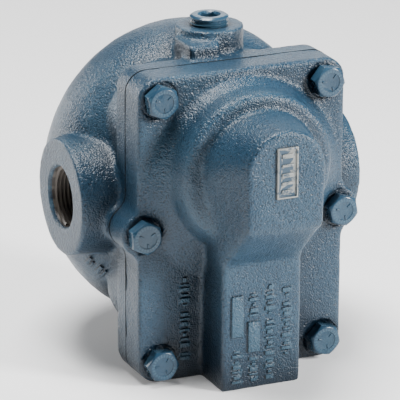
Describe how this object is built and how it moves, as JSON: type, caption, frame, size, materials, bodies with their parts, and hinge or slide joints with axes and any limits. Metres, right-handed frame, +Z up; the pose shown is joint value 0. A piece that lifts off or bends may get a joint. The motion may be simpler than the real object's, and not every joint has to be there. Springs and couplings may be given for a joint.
{
  "type": "steam trap",
  "caption": "Enamelled cast-iron steam trap: round bowl with opposite threaded side inlets, bolted front cover with arched boss and outlet column, plugged top boss, float valve inside.",
  "frame": {"origin": "centre of the outlet's mouth, in the bottom face of the cover's column", "axes": "+Z up, -Y towards the cover's front, X through the two opposite inlets"},
  "size_m": [0.1306, 0.1533, 0.1494],
  "materials": {
    "enamelled_casting": "blue-grey gloss enamel over a sand-cast skin",
    "painted_fasteners": "steel under the same enamel, thin on the edges",
    "gasket_sheet": "dark compressed fibre sheet",
    "stainless": "turned stainless steel",
    "hardened_steel": "ground, hardened stainless steel",
    "pressed_steel": "pressed stainless sheet",
    "float_shell": "spun stainless ball with a welded seam",
    "bellows_bronze": "phosphor bronze",
    "soft_metal": "soft copper ring"
  },
  "bodies": {
    "housing": {"body": "enamelled_casting", "cover": "enamelled_casting", "cover_gasket": "gasket_sheet", "cover_bolts": "painted_fasteners", "vent_plug": "painted_fasteners", "valve_seat": "stainless", "valve_seat_gasket": "soft_metal", "pivot_bracket": "pressed_steel", "bracket_screws": "stainless", "pivot_pin": "stainless", "pivot_clip": "stainless", "vent_seat": "stainless", "vent_seat_gasket": "soft_metal", "vent_bellows": "bellows_bronze", "bellows_cap": "bellows_bronze", "vent_frame": "pressed_steel", "vent_frame_screws": "stainless", "vent_frame_nut": "stainless"},
    "float_arm": {"float_lever": "pressed_steel", "valve_head": "hardened_steel", "valve_head_nut": "stainless", "float_front_half": "float_shell", "float_rear_half": "float_shell", "float_boss": "stainless", "float_washer": "stainless", "float_screw": "stainless"},
    "vent_valve": {"vent_head": "hardened_steel"}
  },
  "joints": [
    {"name": "float_swing", "type": "hinge", "parent": "housing", "child": "float_arm", "pos_m": [0, 0.02423, 0.049], "axis": [1, 0, 0], "range_deg": [0, 25]},
    {"name": "vent_slide", "type": "slide", "parent": "housing", "child": "vent_valve", "axis": [0, -1, 0], "range_m": [0, 0.00115], "stiffness_N_per_m": 400, "deforming": ["vent_bellows"]}
  ]
}
